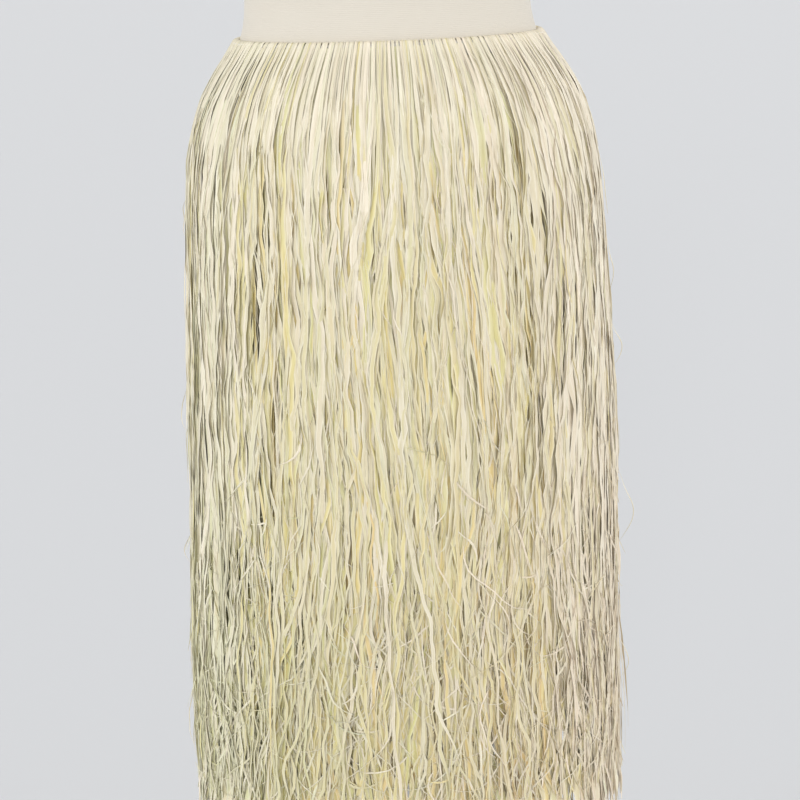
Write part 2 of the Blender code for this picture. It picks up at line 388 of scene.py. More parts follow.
def ribbon_object(name, rings, along, tone, cast, mat, uv_rows=2):
    """Joins the rings of every strand into closed ribbons, all in one mesh.

    tone says how pale a point is and cast how green or pink, and the material turns both into
    colour. A second map runs across and along the strand in metres, for the grain.
    """
    count, stations, _, _ = rings.shape
    segments = stations - 1
    first = np.arange(count)[:, None, None] * stations * 4
    here = first + np.arange(segments)[None, :, None] * 4 + np.arange(4)[None, None, :]
    turned_on = np.roll(np.arange(4), -1)[None, None, :]
    beside = first + np.arange(segments)[None, :, None] * 4 + turned_on
    sides = np.stack([here, beside, beside + 4, here + 4], axis=-1).reshape(-1, 4)
    start = np.arange(count)[:, None] * stations * 4 + np.array((3, 2, 1, 0))
    end = np.arange(count)[:, None] * stations * 4 + (stations - 1) * 4 + np.arange(4)
    faces = np.concatenate([sides, np.stack([start, end], axis=1).reshape(-1, 4)])
    mesh = bpy.data.meshes.new(name)
    mesh.vertices.add(rings.size // 3)
    mesh.vertices.foreach_set("co", rings.astype(np.float32).ravel())
    mesh.loops.add(faces.size)
    mesh.loops.foreach_set("vertex_index", faces.astype(np.int32).ravel())
    mesh.polygons.add(len(faces))
    mesh.polygons.foreach_set("loop_start", np.arange(len(faces), dtype=np.int32) * 4)
    mesh.update(calc_edges=True)
    mesh.shade_smooth()
    mesh.set_sharp_from_angle(angle=math.radians(55))
    bake = mesh.uv_layers.new(name="OFBake")
    bake.uv.foreach_set("vector", strip_uv(count, segments, uv_rows).astype(np.float32).ravel())
    around = np.array((0.0, 0.0015, 0.003, 0.0015)) + np.arange(count)[:, None, None] * 0.0137
    way = np.stack(np.broadcast_arrays(around, along[..., None]), axis=-1).reshape(-1, 2)
    grain = mesh.uv_layers.new(name="leaf_way")
    grain.uv.foreach_set("vector", way[faces.ravel()].astype(np.float32).ravel())
    edge = np.array((1.0, 0.0, 1.0, 0.0))
    for label, values in (("tone", tone), ("cast", cast)):
        spread = np.broadcast_to(values[..., None], (count, stations, 4))
        layer = mesh.attributes.new(label, "FLOAT", "POINT")
        layer.data.foreach_set("value", spread.astype(np.float32).ravel())
    layer = mesh.attributes.new("edge", "FLOAT", "POINT")
    layer.data.foreach_set("value", np.tile(edge, count * stations).astype(np.float32))
    mesh.materials.append(mat)
    print(f"{name}: {count} strands, {2 * len(faces)} triangles")
    return put(name, mesh)


# %% [markdown]
# ## How strands lie
#
# No strand hangs quite straight. Neighbours lean together into clumps and part again, which
# leaves long narrow gaps where the strands behind show. Such shared movement is a sum of waves
# that run round the skirt a whole number of times, so they close. On top of it every strand has
# its own slow waves and a few sharp little bends where the leaf was once folded.

# %% Shared and single waves
def shared_waves(seed, waves, turns, lengths):
    """A smooth uneven field over the whole fall, and its slope round it, both about -1 to 1."""
    rng = np.random.default_rng(seed)
    turn = rng.integers(turns[0], turns[1], waves)
    length = rng.uniform(*lengths, waves) * rng.choice((-1, 1), waves)
    phase = rng.uniform(0, 2 * np.pi, waves)

    def field(share, along):
        angles = [2 * np.pi * (t * share + along / d) + p for t, d, p in zip(turn, length, phase)]
        scale = math.sqrt(2 / waves)
        height = scale * np.sum([np.sin(angle) for angle in angles], axis=0)
        slope = scale * np.sum([np.cos(angle) for angle in angles], axis=0)
        return height, slope

    return field


def own_waves(rng, along, lengths, waves=3):
    """For every strand a sum of sine waves of its own lengths and phases, about -1 to 1."""
    count = len(along)
    length = rng.uniform(*lengths, (waves, count, 1))
    phase = rng.uniform(0, 2 * np.pi, (waves, count, 1))
    return math.sqrt(2 / waves) * np.sin(2 * np.pi * along / length + phase).sum(axis=0) / 1.4


def bends(rng, along, spots, reach, size):
    """A few short bends on every strand: sharp peaks that fade to both sides."""
    count = len(along)
    total = np.zeros_like(along)
    for _ in range(spots):
        place = rng.uniform(0.08, 0.72, (count, 1))
        width = rng.uniform(*reach, (count, 1))
        height = rng.normal(0, size, (count, 1)) * (rng.random((count, 1)) < 0.5)
        total += height * np.exp(-np.abs(along - place) / width)
    return total


# %% [markdown]
# ## Raffia
#
# Dry palm leaf is pale straw, cream where it was bleached, ochre or olive where it wasn't, with
# fine lines along it and a dull gloss on its folds. The strands behind get a bright ochre that
# is partly their own colour and partly painted glow, for light through the thin leaves into the
# shaded gaps. One group of nodes turns the tone and the cast of a strand into its colour, adds
# the lines and paints a pale highlight along the strand's two outer edges. Both layers use it,
# each with its own strength of lines.

# %% Node helpers
def group_sockets(group, inputs, outputs):
    """Names the sockets of a group: each input with its type and value."""
    for name, kind, value in inputs:
        socket = group.interface.new_socket(name, in_out="INPUT", socket_type=kind)
        socket.default_value = value
    for name, kind in outputs:
        group.interface.new_socket(name, in_out="OUTPUT", socket_type=kind)


def sum_node(nodes, links, how, first, second):
    """A Math node fed by two sockets or numbers."""
    made = nodes.new("ShaderNodeMath")
    made.operation = how
    for socket, value in zip(made.inputs, (first, second)):
        if isinstance(value, (int, float)):
            socket.default_value = value
        else:
            links.new(value, socket)
    return made.outputs[0]


def mix_colours(nodes, links, how, amount, first, second):
    """A Mix node for colours, fed by sockets or values."""
    made = nodes.new("ShaderNodeMix")
    made.data_type = "RGBA"
    made.blend_type = how
    for name, value in (("Factor_Float", amount), ("A_Color", first), ("B_Color", second)):
        socket = next(s for s in made.inputs if s.identifier == name)
        if isinstance(value, (int, float, tuple)):
            socket.default_value = value
        else:
            links.new(value, socket)
    return next(s for s in made.outputs if s.identifier == "Result_Color")


def noise_on(nodes, links, vector, scale, detail, stretch=None):
    """A noise texture on some coordinates, which may be stretched first."""
    if stretch:
        mapping = nodes.new("ShaderNodeMapping")
        mapping.inputs["Scale"].default_value = stretch
        links.new(vector, mapping.inputs["Vector"])
        vector = mapping.outputs["Vector"]
    made = nodes.new("ShaderNodeTexNoise")
    made.inputs["Scale"].default_value = scale
    made.inputs["Detail"].default_value = detail
    links.new(vector, made.inputs["Vector"])
    return made


def raise_by(mat, height, strength, distance):
    """Bumps the surface of a Principled material by a height."""
    nodes, links = mat.node_tree.nodes, mat.node_tree.links
    raised = nodes.new("ShaderNodeBump")
    raised.inputs["Strength"].default_value = strength
    raised.inputs["Distance"].default_value = distance
    links.new(height, raised.inputs["Height"])
    links.new(raised.outputs["Normal"], nodes["Principled BSDF"].inputs["Normal"])


# %% Leaf colour and grain
def leaf_group():
    """Colour from tone and cast, darkened along fine lines and with a painted edge highlight; also
    the height of the lines.
    """
    group = bpy.data.node_groups.new("palm leaf", "ShaderNodeTree")
    inputs = [
        ("Tone", "NodeSocketFloat", 0.7),
        ("Cast", "NodeSocketFloat", 0.0),
        ("Lines", "NodeSocketFloat", 0.3),
        ("Edge", "NodeSocketFloat", 0.0),
        ("Way", "NodeSocketVector", (0.0, 0.0, 0.0)),
    ]
    group_sockets(group, inputs, [("Color", "NodeSocketColor"), ("Height", "NodeSocketFloat")])
    nodes, links = group.nodes, group.links
    given, result = nodes.new("NodeGroupInput"), nodes.new("NodeGroupOutput")
    ramp = nodes.new("ShaderNodeValToRGB")
    stops = ramp.color_ramp.elements
    # painted glow, in part: the low tones, which the strands behind mostly have, are a bright
    # saturated ochre, partly the leaf's own colour and partly standing for light that passes
    # through the thin leaves into the shaded gaps
    shades = (  # tone, colour
        (0.00, (0.765, 0.615, 0.310)),
        (0.25, (0.735, 0.670, 0.365)),
        (0.50, (0.690, 0.645, 0.430)),
        (0.75, (0.742, 0.700, 0.576)),
        (1.00, (0.870, 0.826, 0.720)),
    )
    for i, (place, colour) in enumerate(shades):
        stop = stops[0] if i == 0 else stops[-1] if i == len(shades) - 1 else stops.new(place)
        stop.position = place
        stop.color = (*colour, 1.0)
    links.new(given.outputs["Tone"], ramp.inputs["Fac"])
    green = sum_node(nodes, links, "MULTIPLY", given.outputs["Cast"], -1.0)
    green = sum_node(nodes, links, "MAXIMUM", green, 0.0)
    pink = sum_node(nodes, links, "MAXIMUM", given.outputs["Cast"], 0.0)
    shade = ramp.outputs["Color"]
    tinted = mix_colours(nodes, links, "MULTIPLY", green, shade, (0.90, 0.975, 0.86, 1))
    tinted = mix_colours(nodes, links, "MULTIPLY", pink, tinted, (1.0, 0.935, 0.93, 1))
    lines = noise_on(nodes, links, given.outputs["Way"], 1.0, 3.0, (1900.0, 22.0, 1.0))
    lines.noise_dimensions = "2D"
    dark = sum_node(nodes, links, "MULTIPLY", lines.outputs["Fac"], given.outputs["Lines"])
    lined = mix_colours(nodes, links, "MULTIPLY", dark, tinted, (0.80, 0.72, 0.56, 1))
    # painted highlight: the two outer edges of every strand are mixed towards pale cream, standing
    # for light caught by the folded edges
    painted_edge_highlight = sum_node(nodes, links, "POWER", given.outputs["Edge"], 3.0)
    painted_edge_highlight = sum_node(nodes, links, "MULTIPLY", painted_edge_highlight, 0.45)
    edged = mix_colours(nodes, links, "MIX", painted_edge_highlight, lined, (0.96, 0.93, 0.84, 1))
    links.new(edged, result.inputs["Color"])
    links.new(lines.outputs["Fac"], result.inputs["Height"])
    return group


leaf = leaf_group()


def raffia(name, lines, roughness, bump):
    """A Principled material whose colour and bump come from the leaf group."""
    mat = plain(name, (0.8, 0.8, 0.8), roughness)
    nodes, links = mat.node_tree.nodes, mat.node_tree.links
    shader = nodes["Principled BSDF"]
    shader.inputs["Specular IOR Level"].default_value = 0.45
    placed = nodes.new("ShaderNodeGroup")
    placed.node_tree = leaf
    placed.inputs["Lines"].default_value = lines
    for label, socket in (("tone", "Tone"), ("cast", "Cast"), ("edge", "Edge")):
        attribute = nodes.new("ShaderNodeAttribute")
        attribute.attribute_name = label
        links.new(attribute.outputs["Fac"], placed.inputs[socket])
    way = nodes.new("ShaderNodeUVMap")
    way.uv_map = "leaf_way"
    links.new(way.outputs["UV"], placed.inputs["Way"])
    links.new(placed.outputs["Color"], shader.inputs["Base Color"])
    raise_by(mat, placed.outputs["Height"], bump, 0.0004)
    return mat


pale_leaf = raffia("raffia", lines=0.75, roughness=0.48, bump=0.5)
shaded_leaf = raffia("inner raffia", lines=0.75, roughness=0.58, bump=0.6)

# %% [markdown]
# ## The outer strands
#
# Every outer strand starts inside the elastic, folds over it and hangs to its own length. At the
# fold the strands are narrow and tied in small bundles, with dark lines between them. Within a
# hand's width each opens to its full width, and the bundles give way to looser clumps. Low down
# the strands are less orderly: they slant, cross and end at many heights.

# %% Layers of strands
sway = shared_waves(11, 10, (3, 10), (0.35, 0.9))
clumps = shared_waves(12, 26, (34, 84), (0.16, 0.45))
under_clumps = shared_waves(13, 22, (26, 70), (0.18, 0.5))
tufts = shared_waves(15, 16, (60, 120), (0.10, 0.25))
inner_clumps = shared_waves(14, 20, (24, 60), (0.2, 0.5))


def stations(rng, count, start, length, steps, jitter=0.3, head=()):
    """Distances along every strand: the given ones at its head, then uneven steps to its end."""
    steps_left = steps - len(head)
    begin = head[-1] if len(head) else start
    skip = 1 if len(head) else 0
    share = np.arange(skip, steps_left + 1) / steps_left
    uneven = rng.uniform(-jitter, jitter, (count, len(share))) / steps_left
    uneven[:, -1] = 0
    if not len(head):
        uneven[:, 0] = 0
    rest = begin + (share + uneven) * (length[:, None] - begin)
    fixed = np.broadcast_to(np.array(head), (count, len(head)))
    return np.concatenate([fixed, rest], axis=1)


def lie(rng, fall, count, along, field, clump_size, loose):
    """Where every strand is round the fall, as a share, and how much its clump bunches.

    The share is the strand's place at the waist plus its shared and own movement in metres,
    divided by the way round at that height. Movement grows with the distance from the fold.
    """
    place = (np.arange(count) + rng.uniform(-0.45, 0.45, count)) / count
    here = np.broadcast_to(place[:, None], along.shape)
    freed = ease(along, 0.004, 0.16)
    low = ease(along, 0.40, 0.70)
    drift, _ = sway(here, along)
    bunch, slope = field(here, along)
    # what neighbours share
    shift = 0.004 * drift * freed
    shift += clump_size * bunch * freed * (1 + 0.8 * low)
    # each strand's own waves, then its bends, of which there are more low down
    wavy = ease(along, 0.02, 0.20)
    shift += 0.0014 * own_waves(rng, along, (0.055, 0.12)) * wavy * (1 + 0.6 * low)
    shift += 0.0022 * own_waves(rng, along, (0.16, 0.4)) * freed
    shift += 0.0008 * own_waves(rng, along, (0.028, 0.055)) * wavy
    shift += bends(rng, along, 3, (0.006, 0.022), 0.0022) * freed
    shift += bends(rng, along, 4, (0.004, 0.012), 0.0032) * low
    # small tufts and a slant near the hem
    shift += 0.0022 * tufts(here, along)[0] * low
    shift += rng.normal(0, loose, (count, 1)) * np.maximum(along - 0.36, 0) ** 1.5
    way_round = np.interp(along, fall["along"], fall["round"])
    return place[:, None] + shift / way_round, -slope * freed


def tip(along, length, reach):
    """1 along the strand, falling smoothly to 0 over the last stretch of it."""
    return ease(length[:, None] - along, 0, reach)


def tones(rng, along, mean, spread, dark_share):
    """How pale each strand is: around a mean, a few much darker, and a little uneven along it."""
    count = len(along)
    base = rng.normal(mean, spread, count)
    darker = rng.random(count) < dark_share
    base = np.where(darker, base - rng.uniform(0.15, 0.40, count), base)
    return np.clip(base[:, None] + 0.05 * own_waves(rng, along, (0.08, 0.3)), 0.02, 0.98)


def to_the_side(share):
    """0 on the front and the back of the skirt, 1 on its two sides."""
    return 1 - ease(np.abs(np.cos(2 * np.pi * share)), 0.35, 0.85)


def casts(rng, share, along, spread):
    """Green on the skirt's right, pink low on its left, and every strand a little its own."""
    sideways = np.sin(2 * np.pi * share)
    lean = 0.5 * sideways * (0.5 + ease(along, 0.2, 0.65))
    return np.clip(rng.normal(0, spread, (len(along), 1)) + lean, -1, 1)


# %% The top layer
HEAD = (-0.0142, -0.0042, -0.0021, 0.0, 0.0021, 0.0042, 0.010)  # rows round the fold
HEAD_WIDTH = 0.0016
TOP_COUNT = 600
TOP_STEPS = 71
BUNDLES = 150  # round the waist


def top_layer():
    """The strands in front: folded over the elastic, bundled there, and of many lengths.

    Every second strand goes into a mesh of its own, because one mesh would be too large.
    """
    rng = np.random.default_rng(21)
    length = HEM_DROP - 0.26 * rng.beta(0.8, 2.8, TOP_COUNT)
    along = stations(rng, TOP_COUNT, 0.0, length, TOP_STEPS + 1, head=HEAD)
    share, bunched = lie(rng, outer, TOP_COUNT, along, clumps, 0.0021, 0.09)
    freed, low = ease(along, 0.012, 0.06), ease(along, 0.42, 0.70)
    base = rng.uniform(0.89, 1.01, (TOP_COUNT, 1))
    layer = 0.5 + (base - 0.5) * (0.4 + 0.6 * freed)
    layer = layer + 0.05 * own_waves(rng, along, (0.10, 0.3)) * freed + 0.05 * bunched * freed
    # bundles at the waist: strands crowd to the middle of each, which stands out
    tied = (1 - ease(along, 0.02, 0.11)) * (1 - 0.5 * to_the_side(share))
    uneven = 0.5 * np.sin(14 * np.pi * share) + 0.3 * np.sin(46 * np.pi * share)
    phase = 2 * np.pi * (BUNDLES * share + uneven)
    share = share - 0.78 * tied * np.sin(phase) / (2 * np.pi * BUNDLES)
    layer = layer + (0.15 * np.cos(phase) + 1.2 * (base - 0.95)) * tied
    proud = 0.0012 * low * rng.normal(0.2, 1.0, (TOP_COUNT, 1)) ** 2
    points, out = hang(outer, share, along, layer, proud)
    full = np.clip(rng.lognormal(math.log(0.0033), 0.32, (TOP_COUNT, 1)), 0.0013, 0.0058)
    taper = tip(along, length, 0.05)
    width = HEAD_WIDTH + (full - HEAD_WIDTH) * ease(along, 0.010, 0.085)
    width = width * (1 + 0.13 * own_waves(rng, along, (0.05, 0.16)))
    width = width * (1 - 0.38 * ease(along, 0.34, 0.56)) * (0.16 + 0.84 * taper)
    thick = (0.00026 + 0.0002 * rng.random((TOP_COUNT, 1))) * (0.35 + 0.65 * taper)
    crease = rng.uniform(0.03, 0.15, (TOP_COUNT, 1))
    crease = crease * rng.choice((-1, 1), (TOP_COUNT, 1), p=(0.3, 0.7))
    width = width * (1 + 0.35 * to_the_side(share))
    twist = rng.normal(0, 0.25, (TOP_COUNT, 1)) + 0.32 * own_waves(rng, along, (0.06, 0.28))
    twist = twist + 0.28 * own_waves(rng, along, (0.025, 0.06))
    twist = twist * freed * (1 - 0.55 * to_the_side(share))
    rings = ribbon_rings(points, out, width, thick, crease, twist)
    # painted light: the strands are paler near the fold, darker on the front of the skirt, which
    # the lights reach full on, and paler on its two sides, whose gaps lie in shade. They are also a
    # little darker low down.
    tone = tones(rng, along, 0.75, 0.10, 0.10) + 0.07 * (1 - ease(along, 0.0, 0.12))
    front = ease(np.cos(2 * np.pi * share), 0.50, 0.95)
    tone = tone - 0.16 * front * ease(along, 0.06, 0.35) - 0.04 * ease(along, 0.3, 0.7)
    tone = tone + 0.10 * to_the_side(share)
    cast = casts(rng, share, along, 0.22)
    halves = []
    for half, name in enumerate(("outer_strands", "outer_strands_between")):
        parts = [values[half::2] for values in (rings, along, tone, cast)]
        halves.append(ribbon_object(name, *parts, pale_leaf))
    return halves


outer_strands, outer_between = top_layer()


# %% The layer under it
UNDER_COUNT = 420
UNDER_STEPS = 44
UNDER_HEAD_WIDTH = 0.0022


def under_layer():
    """More of the outer half, wider and darker, that shows in the gaps of the top layer."""
    rng = np.random.default_rng(22)
    length = HEM_DROP - 0.09 * rng.beta(0.9, 2.6, UNDER_COUNT)
    along = stations(rng, UNDER_COUNT, 0.007, length, UNDER_STEPS)
    share, bunched = lie(rng, outer, UNDER_COUNT, along, under_clumps, 0.0010, 0.16)
    freed = ease(along, 0.012, 0.06)
    layer = rng.uniform(0.70, 0.85, (UNDER_COUNT, 1)) * (0.3 + 0.7 * freed)
    layer = layer + 0.05 * own_waves(rng, along, (0.12, 0.3)) * freed + 0.05 * bunched * freed
    points, out = hang(outer, share, along, layer, np.zeros_like(along))
    full = np.clip(rng.lognormal(math.log(0.0050), 0.30, (UNDER_COUNT, 1)), 0.0022, 0.0080)
    width = UNDER_HEAD_WIDTH + (full - UNDER_HEAD_WIDTH) * ease(along, 0.010, 0.080)
    width = width * (1 + 0.13 * own_waves(rng, along, (0.05, 0.16)))
    width = width * (0.16 + 0.84 * tip(along, length, 0.03))
    thick = 0.00035 + 0.0003 * rng.random((UNDER_COUNT, 1))
    thick = thick * (0.4 + 0.6 * tip(along, length, 0.05))
    crease = rng.uniform(0.04, 0.15, (UNDER_COUNT, 1)) * rng.choice((-1, 1), (UNDER_COUNT, 1))
    twist = rng.normal(0, 0.25, (UNDER_COUNT, 1)) + 0.42 * own_waves(rng, along, (0.12, 0.35))
    rings = ribbon_rings(points, out, width, thick, crease, twist * freed)
    tone = tones(rng, along, 0.26, 0.12, 0.14) - 0.04 * ease(along, 0.3, 0.7)
    # painted light: paler near the fold and on the two sides of the skirt, to lighten the gaps
    # there, which lie in shade
    tone = tone + 0.45 * (1 - ease(along, 0.03, 0.14))
    tone = tone + 0.55 * to_the_side(share)
    cast = casts(rng, share, along, 0.38) - 0.20
    return ribbon_object("outer_strands_under", rings, along, tone, cast, pale_leaf)


outer_under = under_layer()

# %% [markdown]
# ## The inner strands
#
# The inner half of the strands hangs behind, in the shade of the outer half, and reaches the hem.
# It shows through every gap as olive, ochre and tan, and it closes the skirt so that the form
# never shows through.

# %% The inner fall
INNER_HEAD_WIDTH = 0.0024


def inner_layer(name, seed, count, steps, layers, mean_tone, loose):
    """Wide strands of nearly the same length, close enough together to hide the form."""
    rng = np.random.default_rng(seed)
    length = 0.752 - 0.035 * rng.beta(1.4, 2.0, count)
    along = stations(rng, count, 0.009, length, steps)
    share, _ = lie(rng, inner, count, along, inner_clumps, 0.0009, loose)
    layer = rng.uniform(*layers, (count, 1)) + 0.08 * own_waves(rng, along, (0.15, 0.35))
    points, out = hang(inner, share, along, layer, np.zeros_like(along))
    full = np.clip(rng.lognormal(math.log(0.0072), 0.18, (count, 1)), 0.0045, 0.0095)
    width = INNER_HEAD_WIDTH + (full - INNER_HEAD_WIDTH) * ease(along, 0.012, 0.09)
    width = width * (0.16 + 0.84 * tip(along, length, 0.035))
    thick = 0.0006 + 0.0003 * rng.random((count, 1)) * np.ones_like(along)
    crease = rng.uniform(0.04, 0.2, (count, 1)) * rng.choice((-1, 1), (count, 1))
    twist = rng.normal(0, 0.2, (count, 1)) + 0.2 * own_waves(rng, along, (0.15, 0.4))
    rings = ribbon_rings(points, out, width, thick, crease, twist * ease(along, 0.01, 0.06))
    tone = tones(rng, along, mean_tone, 0.14, 0.12) - 0.10 * ease(along, 0.3, 0.7)
    # painted light: paler on the two sides of the skirt, where these strands lie in deep shade. The
    # ends of the strands are paler too.
    tone = tone + 0.55 * to_the_side(share) + 0.25 * (1 - tip(along, length, 0.06))
    cast = casts(rng, share, along, 0.55)
    return ribbon_object(name, rings, along, tone, cast, shaded_leaf)


inner_strands = inner_layer("inner_strands", 23, 360, 28, (1.10, 1.60), 0.30, 0.10)
inner_back = inner_layer("inner_strands_back", 24, 280, 16, (0.55, 1.05), 0.26, 0.06)

# %% [markdown]
# ## Frayed ends and loose fibres
#
# Where a strand ends it splits into thin fibres that spread and curl. Others have come loose
# along the way and lie across the strands. Each is a thin ribbon whose direction turns slowly:
# adding up the sine and the cosine of its angle, step by step, gives its path sideways and down.

# %% Thin fibres
def wandering(angle, step):
    """Sideways and downward distances of a path whose angle from straight down is given."""
    side = np.cumsum(np.sin(angle) * step, axis=1)
    down = np.cumsum(np.cos(angle) * step, axis=1)
    return side - side[:, :1], down - down[:, :1]


def fibres(name, seed, place, start, length, first_angle, last_angle, layer, lift, width,
           mean_tone, steps, uv_rows):
    """Many thin ribbons, each with its own start, length, first and last angle, and lift."""
    rng = np.random.default_rng(seed)
    count = len(place)
    t = np.linspace(0, 1, steps + 1)[None, :]
    turn = first_angle[:, None] + (last_angle - first_angle)[:, None] * t ** 1.6
    turn = turn + 0.22 * own_waves(rng, t * length[:, None], (0.03, 0.10))
    side, down = wandering(turn, (length / steps)[:, None])
    along = start[:, None] + down
    way_round = np.interp(along, outer["along"], outer["round"])
    share = place[:, None] + side / way_round
    proud = lift[:, None] * t ** 1.5 + 0.0006 * own_waves(rng, t * length[:, None], (0.04, 0.12))
    points, out = hang(outer, share, along, layer[:, None] * np.ones_like(t), proud)
    wide = width[:, None] * (0.22 + 0.78 * (1 - t ** 3)) * np.minimum(1, 0.3 + 6 * t)
    twist = rng.uniform(-1, 1, (count, 1)) + 1.2 * own_waves(rng, t * length[:, None], (0.05, 0.2))
    thick = np.maximum(0.00022, 0.3 * wide)
    rings = ribbon_rings(points, out, wide, thick, 0.1 * np.ones_like(wide), twist)
    tone = tones(rng, along, mean_tone, 0.12, 0.10)
    cast = casts(rng, share, along, 0.35)
    return ribbon_object(name, rings, along, tone, cast, pale_leaf, uv_rows)


def loose_fibres():
    """Fibres that have come away from the strands and lie on them, mostly along them."""
    rng = np.random.default_rng(31)
    count = 900
    start = rng.uniform(0.015, 0.60, count)
    length = np.minimum(rng.uniform(0.06, 0.30, count), 0.70 - start)
    first = rng.normal(0, 0.10 + 0.20 * (start > 0.42), count)
    last = first + rng.normal(0, 0.18 + 0.45 * (start > 0.42), count)
    layer = rng.uniform(0.80, 1.08, count)
    lift = np.abs(rng.normal(0, 0.0012, count))
    width = rng.uniform(0.0005, 0.0016, count)
    return fibres("loose_fibres", 32, rng.random(count), start, length, first, last, layer, lift,
                  width, 0.80, 14, 4)


def frayed_ends():
    """Ends that have split, low on the skirt: they spread to both sides, and some curl up."""
    rng = np.random.default_rng(33)
    count = 1500
    start = 0.44 + 0.25 * rng.beta(1.6, 1.3, count)
    length = np.minimum(rng.uniform(0.025, 0.11, count), 0.755 - start)
    first = rng.normal(0, 0.22, count)
    last = first + rng.normal(0, 0.95, count)
    layer = rng.uniform(0.35, 1.05, count)
    lift = np.abs(rng.normal(0, 0.0035, count))
    width = rng.uniform(0.0006, 0.0024, count)
    return fibres("frayed_ends", 34, rng.random(count), start, length, first, last, layer, lift,
                  width, 0.74, 9, 6)


def crossing_fibres():
    """Short pale pieces that lie slantwise, and some almost level, over the lower half."""
    rng = np.random.default_rng(35)
    count = 1300
    start = 0.33 + 0.38 * rng.beta(1.7, 1.1, count)
    length = np.minimum(0.014 + 0.062 * rng.beta(1.3, 2.2, count), 0.75 - start)
    first = rng.normal(0, 0.42, count)
    level = rng.random(count) < 0.05
    first = np.where(level, rng.choice((-1, 1), count) * rng.uniform(1.1, 1.6, count), first)
    last = first + rng.normal(0, 0.45, count)
    layer = rng.uniform(0.80, 1.12, count)
    lift = np.abs(rng.normal(0, 0.002, count))
    width = rng.uniform(0.0009, 0.0024, count)
    return fibres("crossing_fibres", 36, rng.random(count), start, length, first, last, layer, lift,
                  width, 0.84, 5, 6)


def stray_fibres():
    """A few long fibres that bow out of the sides, each out and back like a shallow arch."""
    rng = np.random.default_rng(37)
    bows = np.array([  # share of the way round, start, length, reach out of the skirt
        (0.250, 0.425, 0.078, 0.016),
        (0.262, 0.285, 0.046, 0.011),
        (0.245, 0.590, 0.044, 0.012),
        (0.252, 0.200, 0.060, 0.006),
        (0.750, 0.330, 0.050, 0.007),
        (0.742, 0.610, 0.105, 0.009),
        (0.755, 0.470, 0.036, 0.006),
        (0.748, 0.150, 0.050, 0.004),
    ])
    share, start, length, reach = bows.T[:, :, None]
    t = np.linspace(0, 1, 25)[None, :]
    along = start + length * t
    proud = reach * np.sin(np.pi * t ** 1.3) + 0.0008 * own_waves(rng, along, (0.02, 0.05))
    share = share + 0.004 * own_waves(rng, along, (0.05, 0.1))
    points, out = hang(outer, share, along, np.ones_like(along), proud)
    width = 0.0009 * (1 - 0.6 * t ** 3) * np.ones_like(along)
    crease = np.full_like(width, 0.1)
    twist = np.broadcast_to(3.0 * t, along.shape)
    rings = ribbon_rings(points, out, width, 0.3 * width, crease, twist)
    tone = np.full_like(along, 0.8)
    return ribbon_object("stray_fibres", rings, along, tone, 0 * tone, pale_leaf, 1)


strays = stray_fibres()
crossing = crossing_fibres()
loose = loose_fibres()
frayed = frayed_ends()

# %% [markdown]
# ## The elastic
#
# The waist is a flat woven elastic inside the folds. It is a closed ring with a thin, flat
# section, measured on its solid.

# %% Elastic
def ring_tube(name, rings, mat):
    """A closed ring from its rings of points, the last joined to the first all round."""
    count, points, _ = rings.shape
    here = np.arange(count)[:, None] * points + np.arange(points)[None, :]
    up = np.roll(here, -1, axis=0)
    faces = np.stack([here, np.roll(here, -1, axis=1), np.roll(up, -1, axis=1), up], axis=-1)
    mesh = bpy.data.meshes.new(name)
    mesh.from_pydata(rings.reshape(-1, 3), [], faces.reshape(-1, 4))
    mesh.shade_smooth()
    mesh.set_sharp_from_angle(angle=math.radians(50))
    uv = mesh.uv_layers.new(name="weave")
    loops = faces.reshape(-1)
    walk = np.stack([(loops % points) / points, (loops // points) / count], axis=1)
    uv.uv.foreach_set("vector", walk.astype(np.float32).ravel())
    mesh.materials.append(mat)
    return put(name, mesh)


def grained(name, light, dark, roughness, scale, metallic=0.0, bump=0.1):
    """Two shades mixed by stretched noise on the object's own coordinates, with a fine bump."""
    mat = plain(name, light, roughness, metallic)
    nodes, links = mat.node_tree.nodes, mat.node_tree.links
    place = nodes.new("ShaderNodeTexCoord")
    noise = noise_on(nodes, links, place.outputs["Object"], 1.0, 6.0, scale)
    shade = mix_colours(nodes, links, "MIX", noise.outputs["Fac"], (*light, 1.0), (*dark, 1.0))
    links.new(shade, nodes["Principled BSDF"].inputs["Base Color"])
    raise_by(mat, noise.outputs["Fac"], bump, 0.0003)
    return mat


def elastic_ring(woven):
    """A flat closed band with the height and thickness of its solid."""
    low, high = elastic_low.z, elastic_high.z
    inside = even_lengths(wall_ring(trees["waist_elastic"], elastic_z, False))
    outside = even_lengths(wall_ring(trees["waist_elastic"], elastic_z, True))
    rings = []
    for ring, z in ((outside, low), (outside, high), (inside, high), (inside, low)):
        level = ring.copy()
        level[:, 2] = z
        rings.append(level)
    return ring_tube("waist_elastic_band", np.array(rings), woven)


woven = grained("elastic", (0.80, 0.77, 0.70), (0.68, 0.65, 0.58), 0.85,
                (260.0, 260.0, 1500.0), bump=0.6)
elastic = elastic_ring(woven)
print("elastic", round(float(outer["round"][0]), 3), "m round")

# %% [markdown]
# ## The dress form
#
# The torso is a padded form in cream jersey. Its solid is made of facets, so the cover reads the
# solid level by level, keeps only the slow waves of every ring and of every column, and closes
# the top and the bottom with rings that shrink to a point.

# %% Form cover
def smooth_down(rows, passes=3):
    """Every row becomes a weighted mean of itself and its neighbours; the end rows stay."""
    rows = rows.copy()
    for _ in range(passes):
        rows[1:-1] = 0.25 * rows[:-2] + 0.5 * rows[1:-1] + 0.25 * rows[2:]
    return rows


